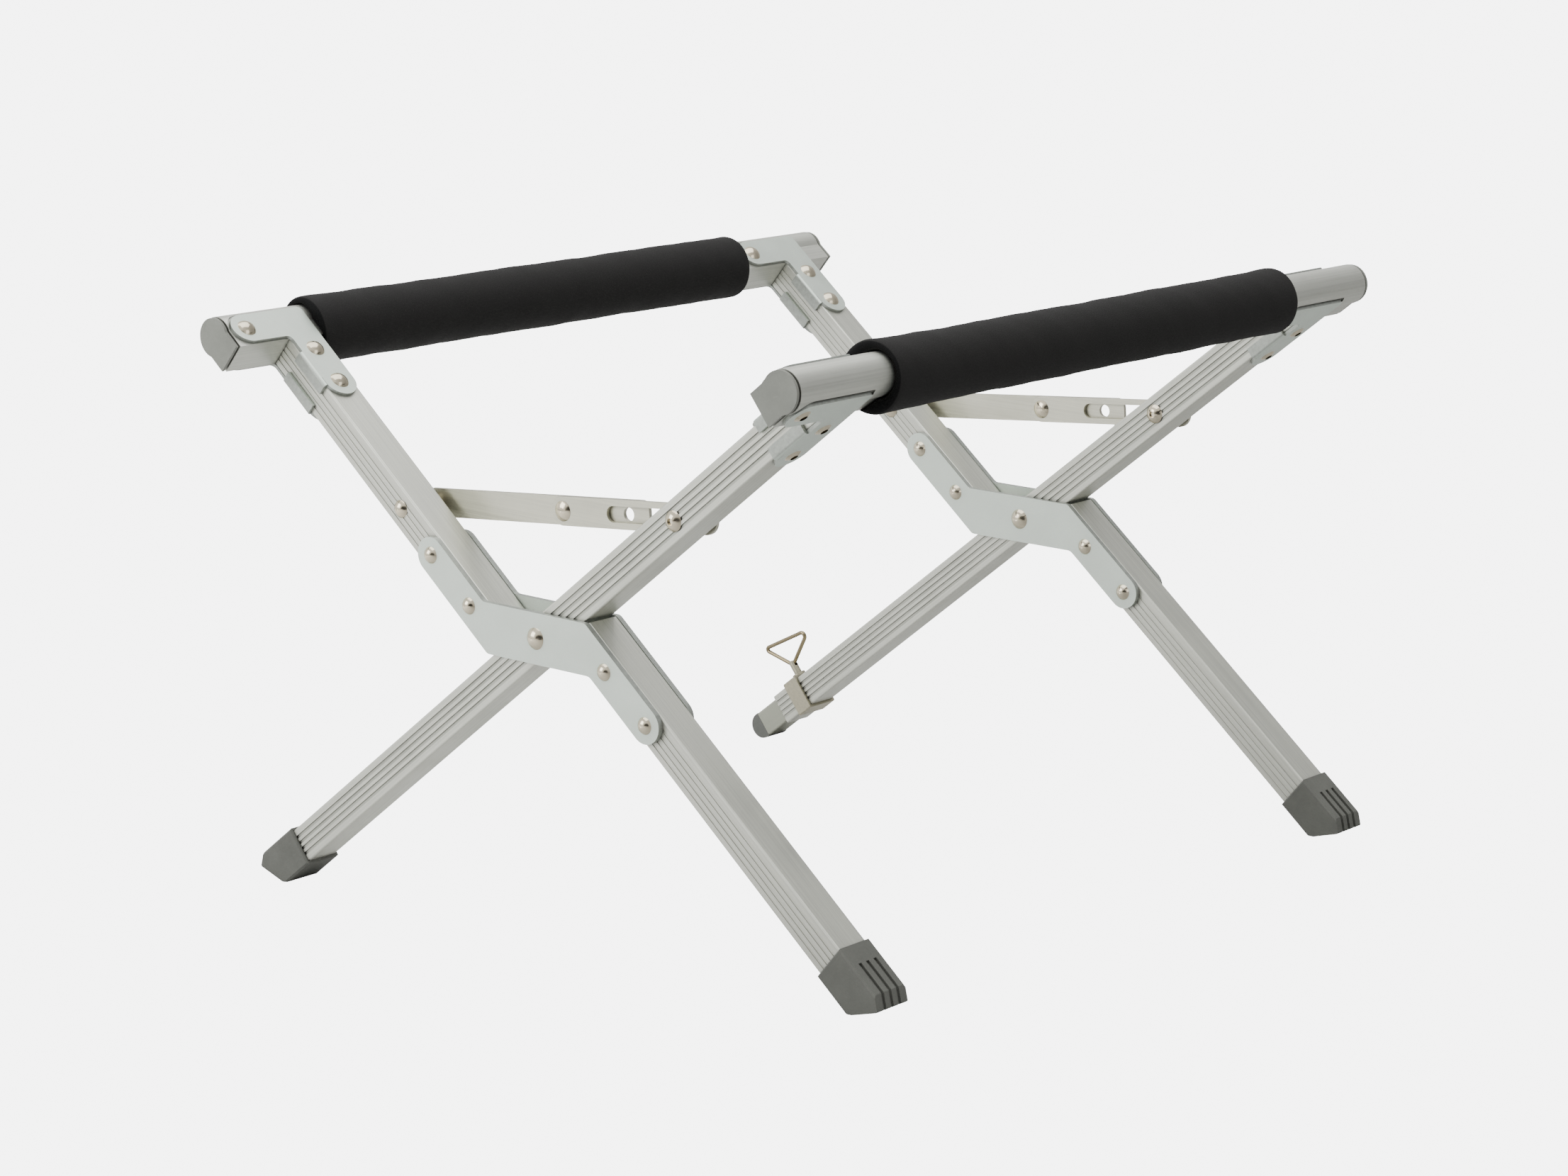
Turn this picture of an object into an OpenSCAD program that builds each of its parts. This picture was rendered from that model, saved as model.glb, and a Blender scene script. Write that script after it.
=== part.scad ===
// Folding X-frame stand: two scissor leg frames joined by two padded rails.
// Units mm, +Z up, +Y along the rails, X across the scissor.
// Origin: centre of the bounding box in plan, on the ground plane.

/* [Frames] */
// Distance between the two leg frames along the rails
frame_gap = 400; // [300:500]
// Slope of the split leg from level, degrees
slope_1 = 41.8; // [38:45]
// Slope of the straight leg from level, degrees
slope_2 = 36.0; // [33:40]
// Height of the scissor pivot above the ground
pivot_height = 160.3; // [150:170]

/* [Leg tubes] */
// Tube width in the plane of the scissor
tube_w = 19; // [16:22]
// Tube depth along the rails
tube_d = 20; // [16:24]
// Tube wall
tube_t = 1.5; // [1.2:2]
// Tube corner radius
tube_r = 1; // [0.5:1.5]
// Groove width on the ribbed faces
groove_w = 1.7; // [1:2]
// Groove pitch
groove_p = 3.35; // [3:4]
// Groove depth on the split leg
groove_1 = 0.3; // [0.2:0.6]
// Groove depth on the straight leg
groove_d = 0.7; // [0.2:0.8]

/* [Z-plates] */
// Plate thickness
zp_t = 3; // [2:4]
// Half the sideways step between the two halves of the split leg
zp_step = 22.75; // [21:25]
// Pivot to inner arm rivet, along the leg
zp_rivet_1 = 42.8; // [40:46]
// Pivot to outer arm rivet, along the leg
zp_rivet_2 = 78.4; // [74:82]
// Slope of the plate's middle band against the leg
zp_turn = 39.3; // [36:42]
// Half height of the middle band
zp_band = 13.4; // [12:14]

/* [Leg ends] */
// Pivot to upper bracket rivet, split leg
end_1 = 215.3; // [200:230]
// Pivot to upper bracket rivet, straight leg
end_2 = 218.5; // [200:230]
// Bracket sheet thickness
br_t = 1.8; // [1.5:2.5]
// Upper to lower bracket rivet
br_drop = 23.7; // [20:26]
// Bracket rivet to rail rivet, up the leg
br_rise = 20.3; // [18:22]
// Rail rivet position along the rail, before the leg frame's front face
br_reach = 20.5; // [18:24]

/* [Rails] */
// Rail overhang past the front leg frame's front face
rail_front = 33.75; // [30:40]
// Rail end behind the front leg frame's front face
rail_back = 445; // [440:460]
// Radius of the round top of the rail
rail_r = 10.8; // [10:12]
// Height of the round's centre over the bracket rivet
rail_c = 26.1; // [25:27]
// Height of the keel's flat bottom over the bracket rivet
rail_k = 10.1; // [9:11]
// Rail wall
rail_t = 1.8; // [1.5:2.5]

/* [Foam sleeves] */
// Outside radius of the sleeve on rail 1
foam_r1 = 18.6; // [17:20]
// Outside radius of the sleeve on rail 2
foam_r2 = 17.7; // [17:20]
// Sleeve 1 front and back ends
foam_1_front = 26; // [24:40]
foam_1_back = 367; // [340:368]
// Sleeve 2 front and back ends
foam_2_front = 35; // [24:40]
foam_2_back = 369.5; // [340:369.6]

/* [Stays] */
// Pivot to stay pin on the split leg
stay_pin_1 = 110.5; // [107:115]
// Pivot to slot pin on the straight leg
stay_pin_2 = 117; // [114:118]
// Stay pin to elbow rivet
stay_arm = 96; // [94:98]
// Turn of the open stay below the straight line between its pins, degrees
stay_turn = -0.83; // [-1:1]
// Half width of the stay bars
stay_w = 7.5; // [7:8]
// Half height of the slot
slot_r = 4.2; // [3.7:4.3]

/* [Feet] */
// Pivot to the rubber feet's rim, split leg
foot_rim_1 = 230.85; // [220:235]
// Pivot to the rubber feet's rim, straight leg
foot_rim_2 = 234.8; // [225:240]

/* [Levelling foot] */
// Pivot to the centre of the clamp band
clamp_s = 218.6; // [216:223]
// Pivot to the end of the cut-short tube
tube_end_s = 237.5; // [235:241]
// Radius of the rounded tip
tip_r = 8; // [7:8.2]

/* [Hidden] */
$fn = 48;
e = 0.01;
clr = 0.05;                       // radial clearance of shanks in their holes
mid_d = zp_t + tube_d / 2;        // mid depth of a leg frame
hw = tube_w / 2;
back_y = zp_t + tube_d;           // back face of the split leg's tubes
m2_gap = 0.15;                    // straight leg to Z-plate, each side
shift = [2.25, -(rail_back - rail_front) / 2, pivot_height];

alu = [0.74, 0.75, 0.72];
plate_c = [0.77, 0.79, 0.80];
foam_c = [0.14, 0.14, 0.15];
nickel = [0.78, 0.74, 0.66];
foot_c = [0.43, 0.44, 0.42];
cap_c = [0.58, 0.59, 0.57];
zinc = [0.68, 0.65, 0.56];

// Stay points in the X-Z plane, measured from the scissor pivot
function rot2(p, a) = [cos(a) * p[0] - sin(a) * p[1], sin(a) * p[0] + cos(a) * p[1]];
sp1 = rot2([-stay_pin_1, -zp_step], -slope_1);
sp2 = stay_pin_2 * [cos(slope_2), sin(slope_2)];
stay_a = atan2(sp2[1] - sp1[1], sp2[0] - sp1[0]) + stay_turn;
slot_x = (sp2 - sp1) * [cos(stay_a), sin(stay_a)] - stay_arm;   // slot pin from the elbow
stay_y1 = 27.2;                   // left bar, back of the pair
stay_y2 = 25.0;                   // right bar, front of the pair
stay_t = 2;

// ---------- 2D helpers ----------
function unit(v) = v / norm(v);

// Polygon with rounded corners, each corner's radius from rs, 0 stays sharp
module rpoly(pts, rs) {
  n = len(pts);
  a = [for (i = [0:n - 1]) unit(pts[(i + n - 1) % n] - pts[i])];
  b = [for (i = [0:n - 1]) unit(pts[(i + 1) % n] - pts[i])];
  cs = [for (i = [0:n - 1]) a[i] * b[i]];
  tl = [for (i = [0:n - 1]) rs[i] * sqrt((1 + cs[i]) / (1 - cs[i]))];
  c = [for (i = [0:n - 1]) pts[i] + unit(a[i] + b[i]) * rs[i] / sqrt((1 - cs[i]) / 2)];
  polygon([for (i = [0:n - 1]) each (rs[i] == 0 ? [pts[i]] :
    let (p = pts[i] + a[i] * tl[i] - c[i], q = pts[i] + b[i] * tl[i] - c[i],
         turn = acos(max(-1, min(1, p * q / (rs[i] * rs[i])))), m = ceil(turn / 9))
      [for (k = [0:m]) c[i]
        + (p * sin(turn * (1 - k / m)) + q * sin(turn * k / m)) / sin(turn)])]);
}
// Rectangle with true round corners
module rrect(w, h, r) {
  square([w - 2 * r, h], center = true);
  square([w, h - 2 * r], center = true);
  for (x = [-1, 1], y = [-1, 1]) translate([x * (w / 2 - r), y * (h / 2 - r)]) circle(r);
}

// ---------- frames of reference ----------
module whole() { translate(shift) children(); }
module leg1() { rotate([0, slope_1, 0]) children(); }    // X down the split leg, Z up and right
module leg2() { rotate([0, -slope_2, 0]) children(); }   // X up the straight leg, Z up and left
// Leg end: X up the leg from the upper bracket rivet, Y along the rail, Z across the leg
module end1() { leg1() translate([-end_1, 0, -zp_step]) rotate([0, 180, 0]) children(); }
module end2() { leg2() translate([end_2, 0, 0]) children(); }
module at_b() { translate([0, frame_gap, 0]) children(); }
// A flat X-Z outline, t thick from y0
module flat(y0, t) { translate([0, y0 + t, 0]) rotate([90, 0, 0]) linear_extrude(t) children(); }
// A cylinder along Y from y0
module ycyl(x, z, y0, h, r) { translate([x, y0 + h, z]) rotate([90, 0, 0]) cylinder(h = h, r = r); }

// ---------- rivets ----------
// Domed head on Z = 0 and up
module head(r, h) {
  R = (r * r + h * h) / (2 * h);
  intersection() {
    translate([0, 0, h - R]) sphere(R);
    cylinder(h = h + 1, r = r);
  }
}
// The same with a hollow middle
module hollow_head(r, h) {
  difference() {
    head(r, h);
    translate([0, 0, h - 1.3]) cylinder(h = 2, r = 1.8);
  }
}
// Rivet along Z, shank from 0 to l, a head past each end
module rivet(l, rs, r1, h1, r2, h2) {
  translate([0, 0, -e]) cylinder(h = l + 2 * e, r = rs);
  translate([0, 0, l]) head(r1, h1);
  rotate([180, 0, 0]) head(r2, h2);
}
// Rivet along Y with its front head before y0
module yrivet(x, z, y0, l, rs, r1, h1, r2, h2) {
  translate([x, y0, z]) rotate([-90, 0, 0]) rivet(l, rs, r2, h2, r1, h1);
}

// ---------- leg tube ----------
// Outline across (X = across the leg, Y = depth), ribbed on both deep faces
module tube_2d() {
  difference() {
    rrect(tube_w, tube_d, tube_r);
    for (k = [-1.5:1:1.5], s = [-1, 1])
      translate([k * groove_p, s * tube_d / 2]) square([groove_w, 2 * groove_1], center = true);
    square([tube_w - 2 * tube_t, tube_d - 2 * tube_t], center = true);
  }
}
// Tube along X from x0 to x1, centred on z
module tube(x0, x1, z) {
  translate([x0, mid_d, z]) rotate([0, 90, 0]) linear_extrude(x1 - x0) tube_2d();
}
module yhole(x, z, r) { ycyl(x, z, zp_t - 5, tube_d + 10, r); }
module zhole(x, z, r) { translate([x, mid_d, z - 15]) cylinder(h = 30, r = r); }

module leg1_upper() {
  leg1() difference() {
    tube(-end_1 - rail_k + 0.2, -18.5, -zp_step);
    yhole(-zp_rivet_1, -zp_step, 2.5 + clr);
    yhole(-zp_rivet_2, -zp_step, 2.5 + clr);
    yhole(-stay_pin_1, -zp_step, 2.5 + clr);
    zhole(-end_1, -zp_step, 2.6 + clr);
    zhole(-end_1 + br_drop, -zp_step, 2.6 + clr);
  }
}
module leg1_lower() {
  leg1() difference() {
    tube(18.5, foot_rim_1 + 17.3, zp_step);
    yhole(zp_rivet_1, zp_step, 2.5 + clr);
    yhole(zp_rivet_2, zp_step, 2.5 + clr);
  }
}
module leg2_tube(s_low) {
  leg2() difference() {
    translate([0, mid_d, 0]) scale2d_tube(-s_low, end_2 + rail_k - 0.2);
    yhole(0, 0, 3.2 + clr);
    yhole(stay_pin_2, 0, 2.5 + clr);
    zhole(end_2, 0, 2.6 + clr);
    zhole(end_2 - br_drop, 0, 2.6 + clr);
  }
}
// The straight leg's tube: the same outline, thinner by the running gap on each deep face
module scale2d_tube(x0, x1) {
  translate([x0, 0, 0]) rotate([0, 90, 0]) linear_extrude(x1 - x0) difference() {
    rrect(tube_w, tube_d - 2 * m2_gap, tube_r);
    for (k = [-1.5:1:1.5], s = [-1, 1]) translate([k * groove_p, s * (tube_d / 2 - m2_gap)])
      square([groove_w, 2 * groove_d], center = true);
    square([tube_w - 2 * tube_t, tube_d - 2 * tube_t], center = true);
  }
}
module leg1_upper_a() { color(alu) whole() leg1_upper(); }
module leg1_lower_a() { color(alu) whole() leg1_lower(); }
module leg1_upper_b() { color(alu) whole() at_b() leg1_upper(); }
module leg1_lower_b() { color(alu) whole() at_b() leg1_lower(); }
module leg2_a() { color(alu) whole() leg2_tube(foot_rim_2 + 17.3); }
module leg2_b() {
  color(alu) whole() at_b() difference() {
    leg2_tube(tube_end_s);
    leg2() translate([-clamp_s, mid_d, 0]) cylinder(h = 20, r = 2.3);
  }
}

// ---------- Z-plates ----------
zb = [rot2([-37.3, zp_band], zp_turn), rot2([34.5, zp_band], zp_turn)];
module zplate_2d() {
  lo = zp_step - 9.5; hi = zp_step + 9.5; x = zp_rivet_2 + 9.5;
  difference() {
    rpoly([[-x, -lo], [zb[0][0], -lo], [zb[1][0], hi], [x, hi],
           [x, lo], [-zb[0][0], lo], [-zb[1][0], -hi], [-x, -hi]],
          [9.49, 5, 4, 9.49, 9.49, 5, 4, 9.49]);
    circle(3.2 + clr);
    for (s = [-1, 1], x = [zp_rivet_1, zp_rivet_2])
      translate([s * x, s * zp_step]) circle(2.5 + clr);
  }
}
module zplate(y0) { leg1() flat(y0, zp_t) zplate_2d(); }
module zplate_front_a() { color(plate_c) whole() zplate(0); }
module zplate_back_a() { color(plate_c) whole() zplate(back_y); }
module zplate_front_b() { color(plate_c) whole() at_b() zplate(0); }
module zplate_back_b() { color(plate_c) whole() at_b() zplate(back_y); }

// ---------- leg-end brackets ----------
module bracket_2d() {
  difference() {
    rpoly([[-br_drop - 9.8, mid_d + 9.8], [-br_drop - 9.8, mid_d - 9.8], [11, mid_d - 9.8],
           [11, -br_reach - 9.3], [br_rise + 9.3, -br_reach - 9.3], [br_rise + 9.3, mid_d + 9.8]],
          [9.79, 9.79, 3, 9.29, 9.29, 3]);
    for (x = [0, -br_drop]) translate([x, mid_d]) circle(2.6 + clr);
    translate([br_rise, -br_reach]) circle(2.6 + clr);
  }
}
// One bracket plate against the leg's +Z side, with the tab that wraps the front face
module bracket() {
  translate([0, 0, hw]) linear_extrude(br_t) bracket_2d();
  intersection() {
    translate([-25.5, 3, hw]) rotate([0, 90, 0]) cylinder(h = 24.5, r = br_t);
    translate([-25.5, 3 - br_t, hw]) cube([24.5, br_t, br_t]);
  }
  translate([-25.5, 3 - br_t, hw - 5.2]) cube([24.5, br_t, 5.2 + e]);
  translate([-20, 3 - e, hw]) cube([19, 0.5, br_t]);
}
module bracket_m() { mirror([0, 0, 1]) bracket(); }
module bracket_1a_inner() { color(plate_c) whole() end1() bracket_m(); }
module bracket_1a_outer() { color(plate_c) whole() end1() bracket(); }
module bracket_1b_inner() { color(plate_c) whole() at_b() end1() bracket_m(); }
module bracket_1b_outer() { color(plate_c) whole() at_b() end1() bracket(); }
module bracket_2a_inner() { color(plate_c) whole() end2() bracket(); }
module bracket_2a_outer() { color(plate_c) whole() end2() bracket_m(); }
module bracket_2b_inner() { color(plate_c) whole() at_b() end2() bracket(); }
module bracket_2b_outer() { color(plate_c) whole() at_b() end2() bracket_m(); }

// ---------- rails ----------
// Outline (X = up the leg, Y = across) grown outwards by g
module rail_2d(g) {
  translate([rail_k - g, -hw - g]) square([rail_c - rail_k + g, tube_w + 2 * g]);
  translate([rail_c, 0]) circle(rail_r + g);
}
module along(y0, y1) { translate([0, y1, 0]) rotate([90, 0, 0]) linear_extrude(y1 - y0) children(); }
cap_gap = 1.1;                    // open groove between cap and rail
rail_y0 = -rail_front + 2.75;
rail_y1 = rail_back - 2.75;
// Where the rail is cut back for a bracket arm, g clear of its edge
module rail_seat(g, r) {
  rpoly([[rail_k - 1, -br_reach - 9.3 - g], [br_rise + 9.3 + g, -br_reach - 9.3 - g],
         [br_rise + 9.3 + g, mid_d + 10.2], [rail_k - 1, mid_d + 10.2]], [0, r, 0, 0]);
}
module rail() {
  difference() {
    along(rail_y0, rail_y1) difference() { rail_2d(0); rail_2d(-rail_t); }
    for (y = [0, frame_gap], s = [-1, 1]) {
      translate([0, y, s > 0 ? hw : -hw - 5]) linear_extrude(5) rail_seat(1.3, 10.6);
      // Shadow gap along the upper edge of the arm
      translate([br_rise + 9.3, y - 21, s > 0 ? hw - 1 : -hw - 4]) cube([1.3, 43.4, 5]);
      translate([br_rise, y - br_reach, s * 12 - 5]) cylinder(h = 10, r = 2.6 + clr);
    }
  }
}
module cap(y, s) {
  // s = 1 for the front end, -1 for the back end; y is the rail's cut end
  p0 = s > 0 ? y - 2.75 : y + cap_gap;
  along(p0, p0 + 2.75 - cap_gap) rail_2d(-0.3);
  n0 = s > 0 ? y - cap_gap - e : y - e;
  along(n0, n0 + cap_gap + 2 * e) rail_2d(-rail_t - 0.4);
  g0 = s > 0 ? y : y - 7;
  along(g0, g0 + 7) rail_2d(-rail_t - 0.05);
}
module rail_1() { color(alu) whole() end1() rail(); }
module rail_2() { color(alu) whole() end2() rail(); }
module rail_1_caps() { color(cap_c) whole() end1() { cap(rail_y0, 1); cap(rail_y1, -1); } }
module rail_2_caps() { color(cap_c) whole() end2() { cap(rail_y0, 1); cap(rail_y1, -1); } }

// ---------- foam sleeves ----------
module foam(y0, y1, r, v) {
  along(y0, y1) difference() { translate([v, 0]) circle(r); rail_2d(0.3); }
}
module foam_1() { color(foam_c) whole() end1() foam(foam_1_front, foam_1_back, foam_r1, 21.8); }
module foam_2() { color(foam_c) whole() end2() foam(foam_2_front, foam_2_back, foam_r2, 23.6); }

// ---------- rivets ----------
module zrivets() {
  leg1() for (s = [-1, 1], x = [zp_rivet_1, zp_rivet_2])
    yrivet(s * x, s * zp_step, 0, tube_d + 2 * zp_t, 2.5, 4.5, 2.7, 4.2, 2.0);
}
module rivets_zplates() { color(nickel) whole() { zrivets(); at_b() zrivets(); } }
module pivot_rivet() { yrivet(0, 0, 0, tube_d + 2 * zp_t, 3.2, 5.75, 3.0, 5.5, 2.4); }
module rivets_pivots() { color(nickel) whole() { pivot_rivet(); at_b() pivot_rivet(); } }
// Three rivets through both plates of a leg end, domed outside, tubular underneath
module end_rivets(turn) {
  for (p = [[0, mid_d], [-br_drop, mid_d], [br_rise, -br_reach]])
    translate([p[0], p[1], 0]) rotate([turn, 0, 0]) translate([0, 0, -hw - br_t])
      difference() {
        rivet(tube_w + 2 * br_t, 2.6, 5.2, 2.7, 4.4, 1.5);
        translate([0, 0, -3]) cylinder(h = 5, r = 2.1);
      }
}
module rivets_brackets_1() { color(nickel) whole() end1() { end_rivets(180); at_b() end_rivets(180); } }
module rivets_brackets_2() { color(nickel) whole() end2() { end_rivets(0); at_b() end_rivets(0); } }
// Stay pin: through the split leg's upper tube, a collar, then the left bar
module stay_pin() {
  yrivet(sp1[0], sp1[1], zp_t, stay_y1 + stay_t + 0.1 - zp_t, 2.5, 4.7, 2.5, 5, 2.2);
  ycyl(sp1[0], sp1[1], back_y, stay_y1 - 0.1 - back_y, 5);
}
module rivets_stay_pins() { color(nickel) whole() { stay_pin(); at_b() stay_pin(); } }
// Slot pin: through the straight leg, a collar, then a thin neck through the slot
module slot_pin() {
  y0 = zp_t + m2_gap;
  yc = back_y - m2_gap;
  translate([sp2[0], y0, sp2[1]]) rotate([90, 0, 0]) hollow_head(5.3, 2.7);
  ycyl(sp2[0], sp2[1], y0 - e, yc + 0.3 - y0, 2.5);
  ycyl(sp2[0], sp2[1], yc, stay_y2 - 0.1 - yc, 5);
  ycyl(sp2[0], sp2[1], stay_y2 - 0.2, stay_t + 0.5, 1.2);
  translate([sp2[0], stay_y2 + stay_t + 0.15, sp2[1]]) rotate([-90, 0, 0]) head(5.3, 2.4);
}
module rivets_slot_pins() { color(nickel) whole() { slot_pin(); at_b() slot_pin(); } }
module at_stay() { translate([sp1[0], 0, sp1[1]]) rotate([0, -stay_a, 0]) children(); }
module elbow() {
  at_stay() yrivet(stay_arm, 0, stay_y2 - 0.08, stay_y1 + stay_t - stay_y2 + 0.08,
                   2.5, 5.3, 1.8, 5, 2.2);
}
module rivet_elbow_a() { color(nickel) whole() elbow(); }
module rivet_elbow_b() { color(nickel) whole() at_b() elbow(); }

// ---------- stays ----------
tail = 58;                        // left bar past the elbow
module stay_left() {
  at_stay() {
    flat(stay_y1, stay_t) difference() {
      union() {
        rpoly([[0, -stay_w], [stay_arm + tail, -stay_w], [stay_arm + tail, stay_w], [0, stay_w]],
              [0, 0, 5, 0]);
        circle(stay_w);
        translate([stay_arm + tail - 6, -stay_w - 2]) square([6, 2 + e]);
      }
      circle(2.5 + clr);
      translate([stay_arm, 0]) circle(2.5 + clr);
      translate([stay_arm + 44, 0]) circle(3.5);
    }
    translate([stay_arm + tail - 6, stay_y2, -stay_w - 2]) cube([6, stay_y1 - stay_y2 + e, 1.85]);
  }
}
module stay_right() {
  at_stay() flat(stay_y2, stay_t) difference() {
    union() {
      translate([stay_arm, -stay_w]) square([slot_x + 1, 2 * stay_w]);
      translate([stay_arm, 0]) circle(stay_w);
      translate([stay_arm + slot_x + 1, 0]) circle(stay_w);
    }
    translate([stay_arm, 0]) circle(2.5 + clr);
    translate([stay_arm + 35, -slot_r]) square([slot_x + 0.8 - 35, 2 * slot_r]);
    translate([stay_arm + 35, 0]) circle(slot_r);
    translate([stay_arm + slot_x + 0.8, 0]) circle(slot_r);
  }
}
module stay_left_a() { color(zinc) whole() stay_left(); }
module stay_right_a() { color(zinc) whole() stay_right(); }
module stay_left_b() { color(zinc) whole() at_b() stay_left(); }
module stay_right_b() { color(zinc) whole() at_b() stay_right(); }

// ---------- rubber feet ----------
// Cap drawn in X = down the leg from its rim, Y = across the leg
module foot_2d() {
  rpoly([[0, -11], [24.1, -11], [35.5, 5.8], [28.7, 11], [0, 11]], [0, 0, 1, 1, 0]);
}
foot_dy = 11.6;
module foot() {
  difference() {
    flat(mid_d - foot_dy, 2 * foot_dy) foot_2d();
    translate([-1, mid_d - tube_d / 2 - clr, -hw - clr])
      cube([18.5, tube_d + 2 * clr, tube_w + 2 * clr]);
    // Three grooves run down the upper side and over the toe
    for (k = [-1:1]) translate([10.5, mid_d + k * 5.6 - 1.1, 9.6]) cube([20, 2.2, 4]);
    for (k = [-1:1]) translate([28.7, mid_d + k * 5.6 - 1.1, 11])
      rotate([0, 37.4, 0]) translate([-6, 0, -1.4]) cube([20, 2.2, 4]);
    // Long edges eased
    for (sy = [-1, 1], sz = [-1, 1]) translate([-1, mid_d + sy * foot_dy, sz * 11])
      rotate([45, 0, 0]) translate([0, -0.7, -0.7]) cube([50, 1.4, 1.4]);
    // Inside edge of the rim eased
    for (sy = [-1, 1]) translate([0, mid_d + sy * foot_dy, -12])
      rotate([0, 0, 45]) translate([-0.5, -0.5, 0]) cube([1, 1, 24]);
  }
}
// Ground level cuts a narrow flat on each foot's low corner
module on_ground() {
  difference() {
    children();
    translate([-400, -400, -20]) cube([800, 800, 20]);
  }
}
module foot_1() { leg1() translate([foot_rim_1, 0, zp_step]) foot(); }
module foot_a_1() { color(foot_c) on_ground() whole() foot_1(); }
module foot_b_1() { color(foot_c) on_ground() whole() at_b() foot_1(); }
module foot_a_2() {
  color(foot_c) on_ground() whole() leg2() translate([-foot_rim_2, 0, 0]) mirror([1, 0, 0]) foot();
}

// ---------- levelling foot, back frame's straight leg ----------
module at_clamp() { at_b() leg2() translate([-clamp_s, mid_d, 0]) children(); }
module clamp_band() {
  color(zinc) whole() at_clamp() difference() {
    union() {
      translate([-5.75, -11.6, -11.1]) cube([11.5, 23.2, 22.2]);
      translate([0, 0, 11]) cylinder(h = 2.6, r = 4.2);
    }
    translate([-8, -tube_d / 2 - clr, -hw - clr]) cube([16, tube_d + 2 * clr, tube_w + 2 * clr]);
    cylinder(h = 20, r = 2.05);
    for (sy = [-1, 1], sz = [-1, 1]) translate([-8, sy * 11.6, sz * 11.1])
      rotate([45, 0, 0]) translate([0, -0.5, -0.5]) cube([16, 1, 1]);
  }
}
// Triangular wire handle, its lowest corner in the fork of the screw
tri = [[-0.5, 0, 20.2], [-15.4, 0, 39.9], [24.4, 0, 32.0]];
tri_r = [1.6, 1.6, 2.4];
// The handle's corners: bend centre, and the wire's ends at p and q
function bend(i) = let (a = unit(tri[(i + 2) % 3] - tri[i]), b = unit(tri[(i + 1) % 3] - tri[i]),
    cs = a * b, t = tri_r[i] * sqrt((1 + cs) / (1 - cs)))
  [tri[i] + unit(a + b) * tri_r[i] / sqrt((1 - cs) / 2), tri[i] + a * t, tri[i] + b * t, 180 - acos(cs)];
module wire(a, b, r) {
  d = b - a; l = norm(d);
  translate(a) rotate([0, atan2(d[0], d[2]), 0]) translate([0, 0, -0.2]) cylinder(h = l + 0.4, r = r);
}
module clamp_screw() {
  color(zinc) whole() at_clamp() difference() {
    union() {
      translate([0, 0, 8.1]) cylinder(h = 8, r = 2);
      translate([0, 0, 13.7]) cylinder(h = 8.8, r = 2.4);
    }
    // Fork for the wire
    translate([-6, -1.32, 18.7]) cube([12, 2.64, 6]);
  }
}
module clamp_handle() {
  color(nickel) whole() at_clamp() for (i = [0:2]) {
    k = bend(i); n = bend((i + 1) % 3); o = k[2] - k[0];
    translate(k[0]) rotate([90, 0, 0]) rotate([0, 0, atan2(o[2], o[0])])
      rotate_extrude(angle = k[3]) translate([tri_r[i], 0]) circle(1.23);
    wire(k[2], n[1], 1.2);
  }
}
in_w = tube_w - 2 * tube_t - 0.3;
in_d = tube_d - 2 * tube_t - 0.3;
tip_s = (pivot_height - tip_r) / sin(slope_2);
module level_foot() {
  color(alu) whole() at_b() leg2() translate([-tip_s + 1.7, mid_d, 0]) rotate([0, 90, 0])
    linear_extrude(tip_s - 1.7 - 200) difference() {
      rrect(in_w, in_d, 1);
      square([in_w - 3, in_d - 3], center = true);
    }
}
module level_foot_tip() {
  color(foot_c) whole() at_b() leg2() translate([-tip_s, mid_d, 0]) {
    intersection() {
      union() {
        rotate([90, 0, 0]) translate([0, 0, -in_d / 2]) cylinder(h = in_d, r = tip_r);
        translate([0, -in_d / 2, -tip_r]) cube([1.6, in_d, 2 * tip_r]);
      }
      translate([-10, -in_d / 2, -in_w / 2 - 0.15]) cube([11.6, in_d, in_w + 0.3]);
    }
    translate([1.5, -in_d / 2 + 1.6, -in_w / 2 + 1.6]) cube([8, in_d - 3.2, in_w - 3.2]);
  }
}

leg1_upper_a();
leg1_lower_a();
leg1_upper_b();
leg1_lower_b();
leg2_a();
leg2_b();
zplate_front_a();
zplate_back_a();
zplate_front_b();
zplate_back_b();
bracket_1a_inner();
bracket_1a_outer();
bracket_1b_inner();
bracket_1b_outer();
bracket_2a_inner();
bracket_2a_outer();
bracket_2b_inner();
bracket_2b_outer();
rail_1();
rail_2();
rail_1_caps();
rail_2_caps();
foam_1();
foam_2();
rivets_zplates();
rivets_pivots();
rivets_brackets_1();
rivets_brackets_2();
rivets_stay_pins();
rivets_slot_pins();
rivet_elbow_a();
rivet_elbow_b();
stay_left_a();
stay_right_a();
stay_left_b();
stay_right_b();
foot_a_1();
foot_a_2();
foot_b_1();
clamp_band();
clamp_screw();
clamp_handle();
level_foot();
level_foot_tip();
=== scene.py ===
import math

import bmesh
import bpy
from mathutils import Matrix, Vector


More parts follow.
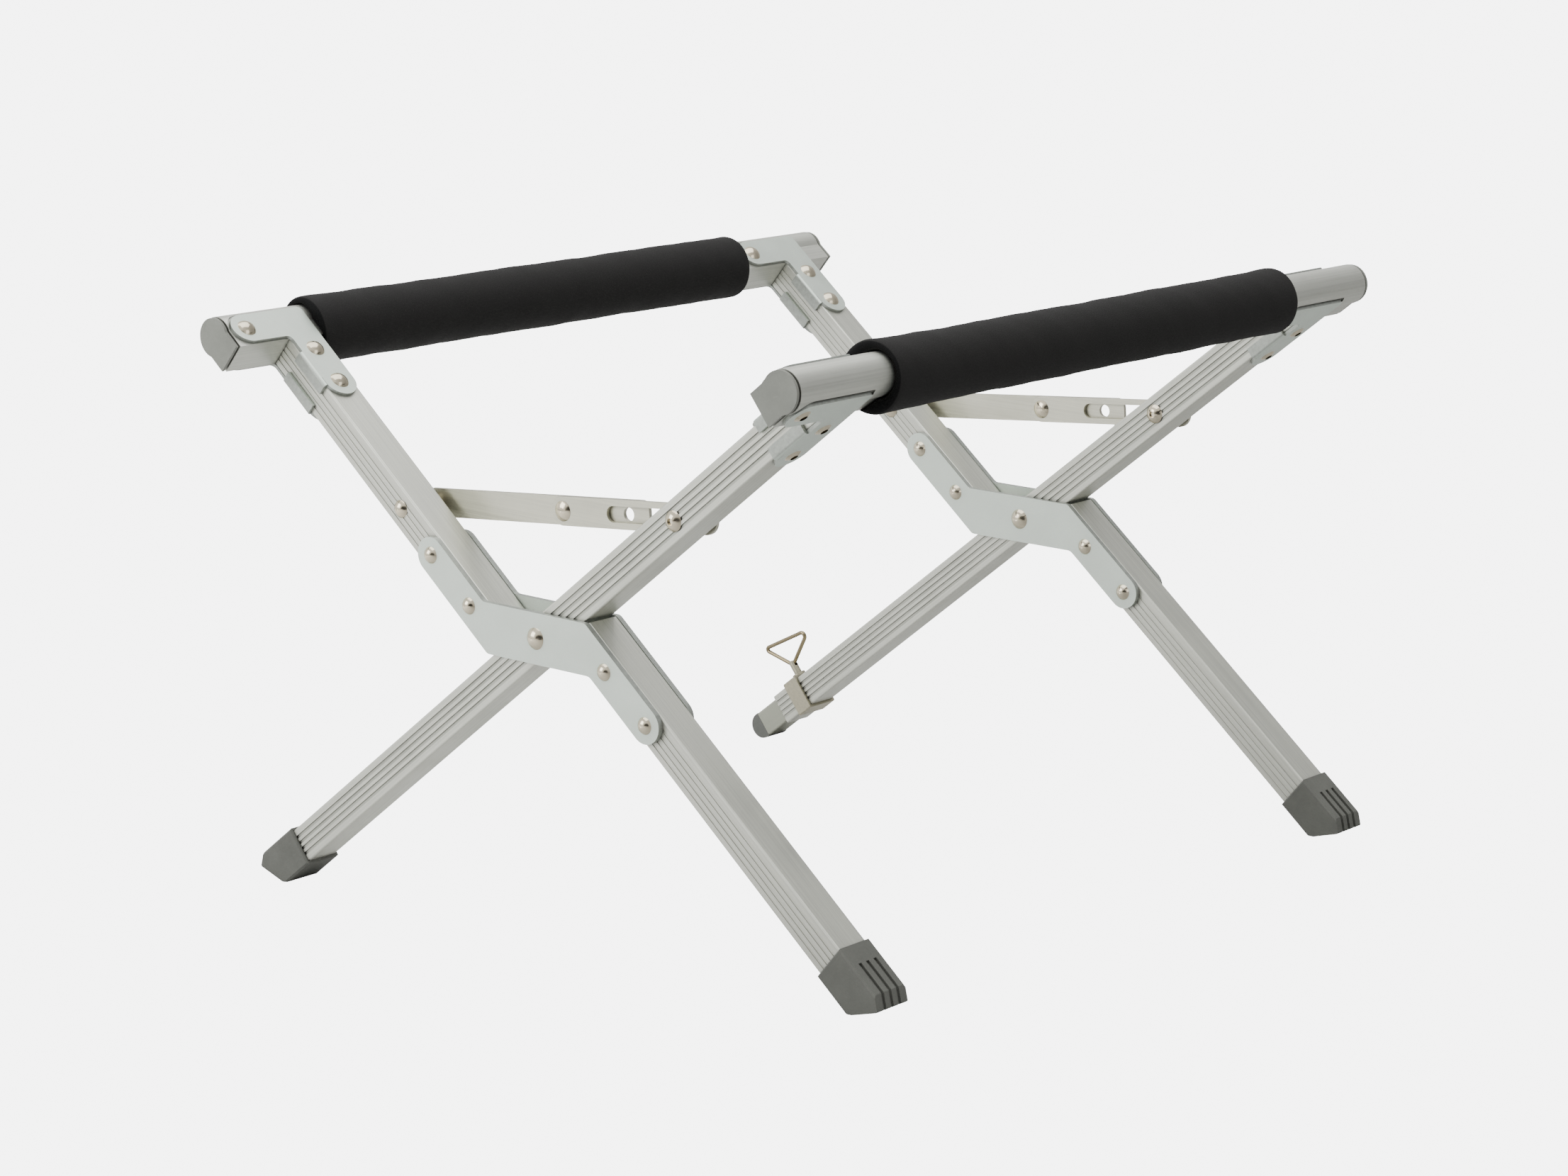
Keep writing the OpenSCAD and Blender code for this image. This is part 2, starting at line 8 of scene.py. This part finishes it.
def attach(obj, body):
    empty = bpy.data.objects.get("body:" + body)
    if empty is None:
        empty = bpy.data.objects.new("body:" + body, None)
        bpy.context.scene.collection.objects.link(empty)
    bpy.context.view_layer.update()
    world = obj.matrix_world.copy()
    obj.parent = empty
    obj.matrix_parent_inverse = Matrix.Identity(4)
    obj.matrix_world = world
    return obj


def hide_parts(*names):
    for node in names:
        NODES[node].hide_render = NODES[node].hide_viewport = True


# Lengths are in metres. Angles are written in degrees and turned to radians where used.
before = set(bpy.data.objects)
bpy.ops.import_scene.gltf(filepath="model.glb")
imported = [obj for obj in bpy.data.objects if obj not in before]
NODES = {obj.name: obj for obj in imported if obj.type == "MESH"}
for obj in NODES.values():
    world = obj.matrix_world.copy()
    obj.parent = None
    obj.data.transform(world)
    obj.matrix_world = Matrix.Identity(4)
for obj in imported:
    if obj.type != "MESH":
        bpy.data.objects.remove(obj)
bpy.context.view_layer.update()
scene = bpy.context.scene

SPLIT_SLOPE, STRAIGHT_SLOPE = 41.8, 36.0    # slopes of a scissor's two legs
PIVOT = Vector((0.00225, 0, 0.1603))        # scissor pivot, in the X-Z plane
FRONT_FACE_Y = -0.205625                    # front face of the front scissor's legs
RIB_PITCH = 0.00335                         # from groove to groove across a leg


# ---------- camera ----------
CAMERA_AT = (1.31319, -1.507605, 0.54642)
CAMERA_ANGLES = (41.288, 11.161, -1.622)    # azimuth, elevation, roll
SENSOR_MM = 36
IMAGE_WIDTH, FOCAL_LENGTH = 2212, 5276.5    # both in pixels
CLIP_NEAR, CLIP_FAR = 0.05, 50


def make_camera():
    azimuth, elevation, roll = (math.radians(a) for a in CAMERA_ANGLES)
    back = Vector((math.sin(azimuth) * math.cos(elevation),
                   -math.cos(azimuth) * math.cos(elevation),
                   math.sin(elevation)))
    level_right = Vector((math.cos(azimuth), math.sin(azimuth), 0))
    level_up = back.cross(level_right)
    right = math.cos(roll) * level_right + math.sin(roll) * level_up
    up = -math.sin(roll) * level_right + math.cos(roll) * level_up
    camera = bpy.data.objects.new("camera", bpy.data.cameras.new("camera"))
    scene.collection.objects.link(camera)
    turn = Matrix((right, up, back)).transposed().to_4x4()
    camera.matrix_world = Matrix.Translation(CAMERA_AT) @ turn
    camera.data.sensor_width = SENSOR_MM
    camera.data.lens = SENSOR_MM * FOCAL_LENGTH / IMAGE_WIDTH
    camera.data.clip_start, camera.data.clip_end = CLIP_NEAR, CLIP_FAR
    scene.camera = camera


make_camera()


# ---------- material builder ----------
class Mat:
    """A small builder for one procedural material."""

    def __init__(self, name, **sockets):
        self.material = bpy.data.materials.new(name)
        self.material.use_nodes = True
        self.tree = self.material.node_tree
        self.bsdf = self.tree.nodes["Principled BSDF"]
        for k, v in sockets.items():
            self.bsdf.inputs[k.replace("_", " ")].default_value = v
        place = self.add("ShaderNodeTexCoord")
        self.coord, self.normal = place.outputs["Object"], place.outputs["Normal"]

    def add(self, kind, **props):
        n = self.tree.nodes.new(kind)
        for k, v in props.items():
            setattr(n, k, v)
        return n

    def link(self, a, b):
        self.tree.links.new(a, b)

    def turned(self, degrees_y, scale):
        """Object coordinates turned about Y, then scaled."""
        r = self.add("ShaderNodeMapping")
        r.inputs["Rotation"].default_value = (0, math.radians(degrees_y), 0)
        self.link(self.coord, r.inputs["Vector"])
        s = self.add("ShaderNodeMapping")
        s.inputs["Scale"].default_value = scale
        self.link(r.outputs["Vector"], s.inputs["Vector"])
        return s.outputs["Vector"]

    def noise(self, vector, scale=1.0, detail=3.0, rough=0.5):
        n = self.add("ShaderNodeTexNoise")
        n.inputs["Scale"].default_value = scale
        n.inputs["Detail"].default_value = detail
        n.inputs["Roughness"].default_value = rough
        self.link(vector, n.inputs["Vector"])
        return n.outputs["Fac"]

    def ramp(self, fac, stops):
        """A colour ramp over two stops, each (position, colour)."""
        n = self.add("ShaderNodeValToRGB")
        for el, (pos, col) in zip(n.color_ramp.elements, stops):
            el.position = pos
            el.color = (*col, 1)
        self.link(fac, n.inputs["Fac"])
        return n.outputs["Color"]

    def remap(self, fac, a, b, lo=0.0, hi=1.0):
        """Map lo..hi to a..b."""
        n = self.add("ShaderNodeMapRange")
        for k, v in zip(("From Min", "From Max", "To Min", "To Max"), (lo, hi, a, b)):
            n.inputs[k].default_value = v
        self.link(fac, n.inputs["Value"])
        return n.outputs["Result"]

    def mix(self, fac, a, b):
        """Mix from colour a to colour b; each is an output or a plain colour."""
        n = self.add("ShaderNodeMix", data_type="RGBA")
        self.link(fac, n.inputs[0])
        for s, v in ((n.inputs[6], a), (n.inputs[7], b)):
            if isinstance(v, tuple):
                s.default_value = (*v, 1)
            else:
                self.link(v, s)
        return n.outputs[2]

    def math(self, operation, a, b=0.0):
        n = self.add("ShaderNodeMath", operation=operation)
        for k, v in enumerate((a, b)):
            if isinstance(v, (int, float)):
                n.inputs[k].default_value = v
            else:
                self.link(v, n.inputs[k])
        return n.outputs[0]

    def facing(self, direction):
        """How far the surface turns towards or away from a direction, 0..1."""
        n = self.add("ShaderNodeVectorMath", operation="DOT_PRODUCT")
        n.inputs[1].default_value = Vector(direction).normalized()
        self.link(self.normal, n.inputs[0])
        return self.math("ABSOLUTE", n.outputs["Value"])

    def crease_shade(self, colour, shade, strength=0.65, reach=0.003):
        """Painted shade: darken a colour in the gaps and inner corners of neighbouring parts,
        where an ambient-occlusion node finds other surfaces close by.
        """
        n = self.add("ShaderNodeAmbientOcclusion", samples=6)
        n.inputs["Distance"].default_value = reach
        return self.mix(self.remap(n.outputs["AO"], strength, 0, 0.3, 0.85), colour, shade)

    def bump(self, *layers):
        """layers: (height, strength, distance)"""
        normal = None
        for h, strength, dist in layers:
            n = self.add("ShaderNodeBump")
            n.inputs["Strength"].default_value = strength
            n.inputs["Distance"].default_value = dist
            self.link(h, n.inputs["Height"])
            if normal is not None:
                self.link(normal, n.inputs["Normal"])
            normal = n.outputs["Normal"]
        self.link(normal, self.bsdf.inputs["Normal"])

    def set(self, socket, value):
        self.link(value, self.bsdf.inputs[socket])


def times(colour, k):
    return tuple(min(1, c * k) for c in colour)


# ---------- metals ----------
FINE_LINES = (9, 900, 900)      # noise scale along and across the drawing direction
BROAD_LINES = (4, 120, 120)


def groove_shade_mask(m, turn, centre_z):
    """Where painted shade goes: 1 in the bottoms of a leg's four grooves on its two deep
    faces, 0 elsewhere.
    """
    part = m.add("ShaderNodeSeparateXYZ")
    m.link(m.turned(turn, (1, 1, 1)), part.inputs[0])
    across = m.math("SUBTRACT", part.outputs["Z"], centre_z)
    ribs = m.math("COSINE", m.math("MULTIPLY", across, math.tau / RIB_PITCH))
    groove_floor_shade = m.remap(ribs, 1, 0, -0.25, 0.25)
    inside = m.math("LESS_THAN", m.math("ABSOLUTE", across), 2 * RIB_PITCH)
    deep_face = m.remap(m.facing((0, 1, 0)), 0, 1, 0.8, 0.95)
    return m.math("MULTIPLY", m.math("MULTIPLY", groove_floor_shade, inside), deep_face)


def drawn_metal(name, turn, base, along=(1, 1, 1), metallic=0.9, rough=(0.38, 0.55),
                tint=0.05, grooves=None):
    """Drawn or rolled metal with fine lines along one axis, soft smudges and small pits, and
    painted shade in gaps and inner corners.
    turn brings the drawing direction to X; along gives how much longer the lines are;
    grooves = (centre_z, shade) paints shade on the bottoms of a leg's grooves."""
    m = Mat(name, Metallic=metallic)
    fine, wide = (m.turned(turn, tuple(s / a for s, a in zip(lines, along)))
                  for lines in (FINE_LINES, BROAD_LINES))
    streak = m.noise(fine, 1.0, 4, 0.6)
    broad = m.noise(wide, 1.0, 2, 0.5)
    smudge = m.noise(m.coord, 26, 4, 0.6)
    pits = m.noise(m.coord, 1500, 2, 0.5)
    col = m.ramp(streak, [(0.32, times(base, 1 - 2.4 * tint)), (0.62, times(base, 1 + tint))])
    col = m.mix(m.remap(broad, 0, 0.5, 0.35, 0.75), col, times(base, 0.92))
    col = m.mix(m.remap(smudge, 0, 0.22, 0.5, 0.75), col, times(base, 0.8))
    # Painted shade on the groove bottoms.
    if grooves:
        centre_z, shade = grooves
        groove_floor_shade = m.math("MULTIPLY", groove_shade_mask(m, turn, centre_z), shade)
        col = m.mix(groove_floor_shade, col, times(base, 0.4))
    # Painted shade in gaps and inner corners.
    m.set("Base Color", m.crease_shade(col, times(base, 0.12)))
    m.set("Roughness", m.remap(smudge, rough[0], rough[1], 0.3, 0.7))
    m.bump((streak, 0.18, 0.0002), (pits, 0.05, 0.0001))
    return m.material


PLATE_DARK, PLATE_PALE = (0.625, 0.686, 0.62), (0.70, 0.765, 0.695)
PLATE_GRAIN = (0.568, 0.62, 0.562)
# Painted shade for the plate edges.
PLATE_EDGE_SHADE = (0.30, 0.31, 0.285)
# Painted shade for the plates' gaps and inner corners.
PLATE_CREASE_SHADE = (0.07, 0.072, 0.066)


def smooth_plate(name, flat):
    """Matte plate, its flat sides facing along flat, with painted shade in streaks on its
    edges and in its gaps and inner corners.
    """
    m = Mat(name, Metallic=0.75)
    fine = m.noise(m.coord, 900, 3, 0.6)
    cloud = m.noise(m.coord, 34, 4, 0.6)
    edge_shade_streaks = m.noise(m.coord, 420, 3, 0.7)
    col = m.ramp(cloud, [(0.35, PLATE_DARK), (0.7, PLATE_PALE)])
    col = m.mix(m.remap(fine, 0, 0.25, 0.4, 0.7), col, PLATE_GRAIN)
    # Painted shade on the edges across the plate, broken into streaks.
    edge_facing = m.remap(m.facing(flat), 1, 0, 0.45, 0.75)
    edge_shade = m.math("MULTIPLY", edge_facing, m.remap(edge_shade_streaks, 0.6, 0.9, 0.3, 0.7))
    col = m.mix(edge_shade, col, PLATE_EDGE_SHADE)
    # Painted shade in gaps and inner corners.
    m.set("Base Color", m.crease_shade(col, PLATE_CREASE_SHADE, 0.4))
    m.set("Roughness", m.remap(cloud, 0.42, 0.56, 0.3, 0.7))
    m.bump((fine, 0.10, 0.0001))
    return m.material


def polished(name, base, rough):
    m = Mat(name, Metallic=1.0)
    cloud = m.noise(m.coord, 260, 3, 0.55)
    fine = m.noise(m.coord, 1600, 2, 0.5)
    dents = m.noise(m.coord, 420, 2, 0.5)
    m.set("Base Color", m.ramp(cloud, [(0.3, times(base, 0.82)), (0.7, base)]))
    m.set("Roughness", m.remap(cloud, rough[0], rough[1], 0.3, 0.7))
    m.bump((fine, 0.08, 0.0001), (dents, 0.12, 0.0002))
    return m.material


# ---------- rubber, plastic and foam ----------
def moulded(name, base, rough=(0.55, 0.75), grain=700, specular=0.35):
    m = Mat(name, Metallic=0.0, Specular_IOR_Level=specular)
    fine = m.noise(m.coord, grain, 3, 0.6)
    cloud = m.noise(m.coord, 45, 4, 0.6)
    scuff = m.noise(m.turned(20, (300, 60, 900)), 1.0, 3, 0.6)
    col = m.ramp(cloud, [(0.3, times(base, 0.88)), (0.7, times(base, 1.1))])
    col = m.mix(m.remap(scuff, 0, 0.35, 0.62, 0.8), col, times(base, 1.35))
    m.set("Base Color", col)
    m.set("Roughness", m.remap(fine, rough[0], rough[1], 0.3, 0.7))
    m.bump((fine, 0.25, 0.0002), (cloud, 0.1, 0.0006))
    return m.material


FOAM_DARK, FOAM_PALE = (0.0105, 0.0102, 0.0099), (0.0175, 0.0169, 0.0165)
FOAM_PORES = (0.026, 0.0253, 0.0248)
FOAM_CUT_END = (0.0025, 0.0025, 0.0027)


def foam_material():
    """Closed-cell foam: fine pores, soft clouds, and cut ends that look almost black."""
    m = Mat("foam", Metallic=0.0, Specular_IOR_Level=0.16)
    cells = m.add("ShaderNodeTexVoronoi", feature="F1")
    cells.inputs["Scale"].default_value = 1500
    m.link(m.coord, cells.inputs["Vector"])
    pores = m.remap(cells.outputs["Distance"], 0, 1, 0.0, 0.7)
    soft = m.noise(m.coord, 60, 4, 0.55)
    lengthwise = m.noise(m.turned(0, (70, 7, 70)), 1.0, 3, 0.55)
    col = m.ramp(soft, [(0.3, FOAM_DARK), (0.7, FOAM_PALE)])
    col = m.mix(m.remap(pores, 0, 0.35, 0.0, 0.5), col, FOAM_PORES)
    cut = m.remap(m.facing((0, 1, 0)), 0, 1, 0.6, 0.85)
    m.set("Base Color", m.mix(cut, col, FOAM_CUT_END))
    m.set("Roughness", m.remap(soft, 0.72, 0.88, 0.3, 0.7))
    m.bump((pores, 0.22, 0.0003), (soft, 0.10, 0.0008), (lengthwise, 0.08, 0.0015))
    return m.material


# ---------- materials on the CAD nodes ----------
def across_leg(slope):
    a = math.radians(slope)
    return (math.sin(a), 0, math.cos(a))


def dress(names, mat):
    for n in names:
        slots = NODES[n].data.materials
        slots.clear()
        slots.append(mat)


def starting(*heads):
    return [n for n in NODES if n.startswith(heads)]


TUBE = (0.645, 0.653, 0.583)
# Height of the straight leg's middle line over the origin, across the leg
STRAIGHT_Z = (-math.sin(math.radians(STRAIGHT_SLOPE)) * PIVOT.x
              + math.cos(math.radians(STRAIGHT_SLOPE)) * PIVOT.z)
ALONG_Y = (0.01, 100, 1)        # lines drawn along Y instead of X
BAND_ALONG_Y = (0.02, 60, 1)
STAY_SLOPE = -2.77

dress(starting("leg1_"), drawn_metal("alu_split_leg", -SPLIT_SLOPE, TUBE))
# The straight leg's groove bottoms get painted shade.
dress(starting("leg2_"),
      drawn_metal("alu_straight_leg", STRAIGHT_SLOPE, TUBE, grooves=(STRAIGHT_Z, 0.22)))
dress(["level_foot"],
      drawn_metal("alu_levelling_foot", STRAIGHT_SLOPE, (0.41, 0.422, 0.35), tint=0.03))
dress(["rail_1", "rail_2"], drawn_metal("alu_rail", 0, (0.62, 0.63, 0.573), along=ALONG_Y))
dress(starting("zplate"), smooth_plate("alu_z_plate", (0, 1, 0)))
dress(starting("bracket_1"), smooth_plate("alu_bracket_1", across_leg(SPLIT_SLOPE)))
dress(starting("bracket_2"), smooth_plate("alu_bracket_2", across_leg(-STRAIGHT_SLOPE)))
dress(starting("rivet"), polished("nickel_rivet", (0.70, 0.63, 0.48), (0.10, 0.22)))
dress(["clamp_handle"], polished("wire_handle", (0.30, 0.25, 0.155), (0.2, 0.34)))
dress(starting("stay_"),
      drawn_metal("zinc_stay", STAY_SLOPE, (0.63, 0.62, 0.515), metallic=0.95,
                  rough=(0.3, 0.46)))
dress(["clamp_band", "clamp_screw"],
      drawn_metal("zinc_clamp", 0, (0.47, 0.44, 0.33), along=BAND_ALONG_Y, rough=(0.3, 0.45)))
dress(starting("foot_"), moulded("foot_rubber", (0.118, 0.121, 0.108), (0.6, 0.78), 700, 0.22))
dress(["rail_1_caps", "rail_2_caps"],
      moulded("cap_plastic", (0.225, 0.232, 0.205), (0.5, 0.65), 500, 0.3))
dress(["level_foot_tip"], moulded("tip_plastic", (0.13, 0.134, 0.122), (0.5, 0.7)))
mat_foam = foam_material()


# ---------- foam sleeves ----------
# A rail's outline, measured up from the bracket rivets: a flat keel under a round top
KEEL_LOW, KEEL_HIGH, KEEL_HALF_WIDTH = 0.0101, 0.0261, 0.0095
ROUND_CENTRE, ROUND_RADIUS = 0.0261, 0.0108
PARALLEL = 1e-9                 # a ray this flat never meets the wall beside it

SLEEVE_STEPS, SLEEVE_RINGS = 96, 120
END_ROUND = 0.0022              # radius of a sleeve's rounded ends
END_RINGS = (0.0, 0.0004, 0.0011, END_ROUND)
END_WANDER = 0.0004             # how far an end is from a straight cut
SKIN = 0.0005                   # room kept under the nominal radius for lumps and flare
FRONT_FLARE, FRONT_FADE = 0.0006, 0.02
BACK_FLARE, BACK_FADE = 0.0003, 0.03
LONG_LUMP, SHORT_LUMP = 0.00025, 0.00018
LEAN_FADE = 0.03                # how far along the sleeve a lean dies out
BORE_GAP = 0.00035              # between sleeve and rail
BORE_LIP, BORE_LIP_DEPTH = 0.0008, 0.001
BORE_END, BORE_SHOULDER = 0.0006, 0.004
THINNEST_WALL = 0.0012


def hash1(i):
    x = math.sin(i * 127.1 + 11.7) * 43758.5453
    return x - math.floor(x)


def wave(t, seed, octaves=((1, 1.0), (2.3, 0.5), (4.7, 0.25))):
    """Smooth wander in -1..1 along t, the same on every run."""
    v, w = 0.0, 0.0
    for k, (f, a) in enumerate(octaves):
        p = hash1(seed * 7 + k) * math.tau
        v += a * math.sin(t * f * math.tau + p)
        w += a
    return v / w


def rail_reach(v, dv, du):
    """Distance to the rail's outline from height v on its middle line, inside it, along
    the unit (dv up, du across)."""
    walls = []
    if abs(dv) > PARALLEL:
        walls.append(((KEEL_HIGH if dv > 0 else KEEL_LOW) - v) / dv)
    if abs(du) > PARALLEL:
        walls.append(KEEL_HALF_WIDTH / abs(du))
    reach = max(0.0, min(walls))
    from_centre = v - ROUND_CENTRE
    b = from_centre * dv
    disc = b * b - (from_centre * from_centre - ROUND_RADIUS * ROUND_RADIUS)
    if disc > 0:
        reach = max(reach, -b + math.sqrt(disc))
    return reach


def sleeve(name, body, node, origin, up, across, y_a, y_b, centre, radius, seed, lean=0.0):
    """A closed-cell foam sleeve: a lofted closed tube round the rail, ends rounded over,
    its wall thickened and dimpled a little along its length. lean pulls the lower side of
    the front end forward."""
    length = y_b - y_a
    angles = [math.tau * k / SLEEVE_STEPS for k in range(SLEEVE_STEPS)]
    ways = [(math.cos(a), math.sin(a)) for a in angles]
    bm = bmesh.new()

    def vert(r, dv, du, y, y_moved):
        forward = lean * (0.5 - 0.5 * dv) * max(0.0, 1 - y / LEAN_FADE) ** 2
        along = Vector((0, y_a + (y_moved - forward), 0))
        return bm.verts.new(origin + up * (centre + r * dv) + across * (r * du) + along)

    middle = [END_ROUND + (length - 2 * END_ROUND) * k / SLEEVE_RINGS
              for k in range(1, SLEEVE_RINGS)]
    outer = [*END_RINGS, *middle, *(length - y for y in reversed(END_RINGS))]
    rings = []
    for y in outer:
        d = min(y, length - y)
        drop = 0.0
        if d < END_ROUND:
            drop = END_ROUND - math.sqrt(max(0.0, END_ROUND ** 2 - (END_ROUND - d) ** 2))
        t = y / length
        flare = FRONT_FLARE * math.exp(-y / FRONT_FADE)
        flare += BACK_FLARE * math.exp(-(length - y) / BACK_FADE)
        ring = []
        for k, (dv, du) in enumerate(ways):
            lump = LONG_LUMP * wave(t * 3 + 0.15 * dv, seed + 1)
            lump += SHORT_LUMP * wave(t * 9 + 0.4 * du, seed + 2)
            r = radius - SKIN + flare + lump - drop
            y_moved = y
            if d < END_ROUND:
                outward = 1 if y < length / 2 else -1
                y_moved += END_WANDER * wave(k / SLEEVE_STEPS, seed + 5) * outward
            ring.append(vert(r, dv, du, y, y_moved))
        rings.append(ring)
    # The bore, from the back end to the front, follows the rail with a small gap
    bore = (length - BORE_END, length - BORE_SHOULDER, length / 2, BORE_SHOULDER, BORE_END)
    for y in bore:
        lip = BORE_LIP if min(y, length - y) < BORE_LIP_DEPTH else 0.0
        ring = []
        for dv, du in ways:
            r = min(rail_reach(centre, dv, du) + BORE_GAP + lip, radius - THINNEST_WALL)
            ring.append(vert(r, dv, du, y, y))
        rings.append(ring)
    for i, a in enumerate(rings):
        b = rings[(i + 1) % len(rings)]
        for k in range(SLEEVE_STEPS):
            n = (k + 1) % SLEEVE_STEPS
            bm.faces.new((a[k], a[n], b[n], b[k]))
    bmesh.ops.recalc_face_normals(bm, faces=bm.faces)
    for f in bm.faces:
        f.smooth = True
    me = bpy.data.meshes.new(name)
    bm.to_mesh(me)
    bm.free()
    me.materials.append(mat_foam)
    o = bpy.data.objects.new(name, me)
    scene.collection.objects.link(o)
    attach(o, body)
    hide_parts(node)


def leg_axes(slope, sign):
    """Unit vectors along and across a leg; sign is 1 where it runs down to the right."""
    a = math.radians(slope)
    return (Vector((math.cos(a), 0, -math.sin(a) * sign)),
            Vector((math.sin(a) * sign, 0, math.cos(a))))


SPLIT_RIVET, STRAIGHT_RIVET = 0.2153, 0.2185    # from the pivot to the bracket rivets
SPLIT_STEP = 0.02275                            # the split leg's step off the pivot line
split_x, split_z = leg_axes(SPLIT_SLOPE, 1)
straight_x, straight_z = leg_axes(STRAIGHT_SLOPE, -1)
base = PIVOT + Vector((0, FRONT_FACE_Y, 0))
sleeve("foam_sleeve_1", "split_leg_frame", "foam_1",
       base - split_x * SPLIT_RIVET - split_z * SPLIT_STEP, -split_x, -split_z,
       y_a=0.026, y_b=0.367, centre=0.0218, radius=0.0186, seed=3)
sleeve("foam_sleeve_2", "straight_leg_frame", "foam_2",
       base + straight_x * STRAIGHT_RIVET, straight_x, straight_z,
       y_a=0.035, y_b=0.3695, centre=0.0236, radius=0.0177, seed=17, lean=0.004)


# ---------- floor and light ----------
WHITE = (1, 1, 1, 1)
BACKDROP = 6.1                  # brightness of the white backdrop as the camera sees it
FLOOR_HALF = 14
FLOOR_DARK, FLOOR_PALE = (0.90, 0.90, 0.895), (0.93, 0.93, 0.925)
FLOOR_FAR_SHADE = (0.36, 0.36, 0.355)
FLOOR_NEAR_SIDE = (-0.9, -0.43, 0)      # the floor's painted shade deepens away from this side
FAR_AT, NEAR_AT = -0.2, 0.7             # where it is darkest and palest, towards that side
KEY_SIDE = (-0.62, -0.75, 0.15)         # the sky is brightest on this side
SKY_DIM, SKY_BRIGHT = 0.40, 1.42
DARK_ZONE = (26, 2)                     # azimuth and elevation of the sky's dark zone
DARK_ZONE_EDGE, DARK_ZONE_CORE = 38, 19
DARK_ZONE_SHARE = 0.06                  # of the sky's light that is left in its core


def camera_only(tree, plain, seen):
    """Mix two shaders: seen for what the camera sees directly, plain for all else."""
    path = tree.nodes.new("ShaderNodeLightPath")
    mix = tree.nodes.new("ShaderNodeMixShader")
    tree.links.new(path.outputs["Is Camera Ray"], mix.inputs["Fac"])
    tree.links.new(plain, mix.inputs[1])
    tree.links.new(seen, mix.inputs[2])
    return mix.outputs[0]


def floor():
    """Pale floor at ground level. It bounces light and blocks it, but lets the camera see the
    backdrop through it, so legs that swing below ground level in a pose stay in view."""
    m = Mat("floor", Roughness=0.85, Specular_IOR_Level=0.2)
    cloud = m.noise(m.coord, 1.3, 3, 0.5)
    pale = m.ramp(cloud, [(0.3, FLOOR_DARK), (0.7, FLOOR_PALE)])
    way = m.add("ShaderNodeVectorMath", operation="DOT_PRODUCT")
    way.inputs[1].default_value = FLOOR_NEAR_SIDE
    m.link(m.coord, way.inputs[0])
    far = m.remap(way.outputs["Value"], 1.0, 0.0, FAR_AT, NEAR_AT)
    # Painted shade: the floor's colour darkens away from its near side, for light that falls
    # off.
    m.set("Base Color", m.mix(far, pale, FLOOR_FAR_SHADE))
    clear = m.add("ShaderNodeBsdfTransparent")
    out = m.tree.nodes["Material Output"].inputs["Surface"]
    m.link(camera_only(m.tree, m.bsdf.outputs[0], clear.outputs[0]), out)
    bm = bmesh.new()
    s = FLOOR_HALF
    corners = ((-s, -s), (s, -s), (s, s), (-s, s))
    bm.faces.new([bm.verts.new((x, y, 0)) for x, y in corners])
    me = bpy.data.meshes.new("floor")
    bm.to_mesh(me)
    bm.free()
    me.materials.append(m.material)
    o = bpy.data.objects.new("floor", me)
    scene.collection.objects.link(o)


def area(name, loc, target, size, power):
    d = bpy.data.lights.new(name, "AREA")
    d.shape = "RECTANGLE"
    d.size, d.size_y = size
    d.energy = power
    o = bpy.data.objects.new(name, d)
    o.location = loc
    o.rotation_mode = "QUATERNION"
    o.rotation_quaternion = (Vector(target) - Vector(loc)).to_track_quat("-Z", "Y")
    scene.collection.objects.link(o)


def studio_world():
    """Soft white studio: brightest to the front left, dimmer behind, with a dark zone to the
    front that the rivets mirror, and plain white as a backdrop."""
    world = bpy.data.worlds.new("studio")
    scene.world = world
    world.use_nodes = True
    t = world.node_tree
    way = t.nodes.new("ShaderNodeTexCoord").outputs["Generated"]

    def towards(direction, lo, hi, a, b, interpolation="LINEAR"):
        dot = t.nodes.new("ShaderNodeVectorMath")
        dot.operation = "DOT_PRODUCT"
        dot.inputs[1].default_value = Vector(direction).normalized()
        t.links.new(way, dot.inputs[0])
        r = t.nodes.new("ShaderNodeMapRange")
        r.interpolation_type = interpolation
        for k, v in zip(("From Min", "From Max", "To Min", "To Max"), (lo, hi, a, b)):
            r.inputs[k].default_value = v
        t.links.new(dot.outputs["Value"], r.inputs["Value"])
        return r.outputs["Result"]

    az, el = (math.radians(a) for a in DARK_ZONE)
    dark = (math.sin(az) * math.cos(el), -math.cos(az) * math.cos(el), math.sin(el))
    edge, core = (math.cos(math.radians(a)) for a in (DARK_ZONE_EDGE, DARK_ZONE_CORE))
    key = towards(KEY_SIDE, -1, 1, SKY_DIM, SKY_BRIGHT)
    spot = towards(dark, edge, core, 1, DARK_ZONE_SHARE, "SMOOTHSTEP")
    product = t.nodes.new("ShaderNodeMath")
    product.operation = "MULTIPLY"
    t.links.new(key, product.inputs[0])
    t.links.new(spot, product.inputs[1])
    plain = t.nodes["Background"]
    t.links.new(product.outputs[0], plain.inputs["Strength"])
    plain.inputs["Color"].default_value = WHITE
    backdrop = t.nodes.new("ShaderNodeBackground")
    backdrop.inputs["Color"].default_value = WHITE
    backdrop.inputs["Strength"].default_value = BACKDROP
    t.links.new(camera_only(t, plain.outputs[0], backdrop.outputs[0]),
                t.nodes["World Output"].inputs["Surface"])


floor()
area("top", loc=(-0.2, 0.1, 2.2), target=(0, 0, 0.1), size=(2.4, 2.4), power=45)
area("front_left", loc=(-1.2, -1.9, 1.2), target=(0, 0, 0.15), size=(1.4, 1.2), power=25)
area("right", loc=(2.2, -0.4, 0.9), target=(0, 0, 0.15), size=(1.2, 1.2), power=6)
studio_world()
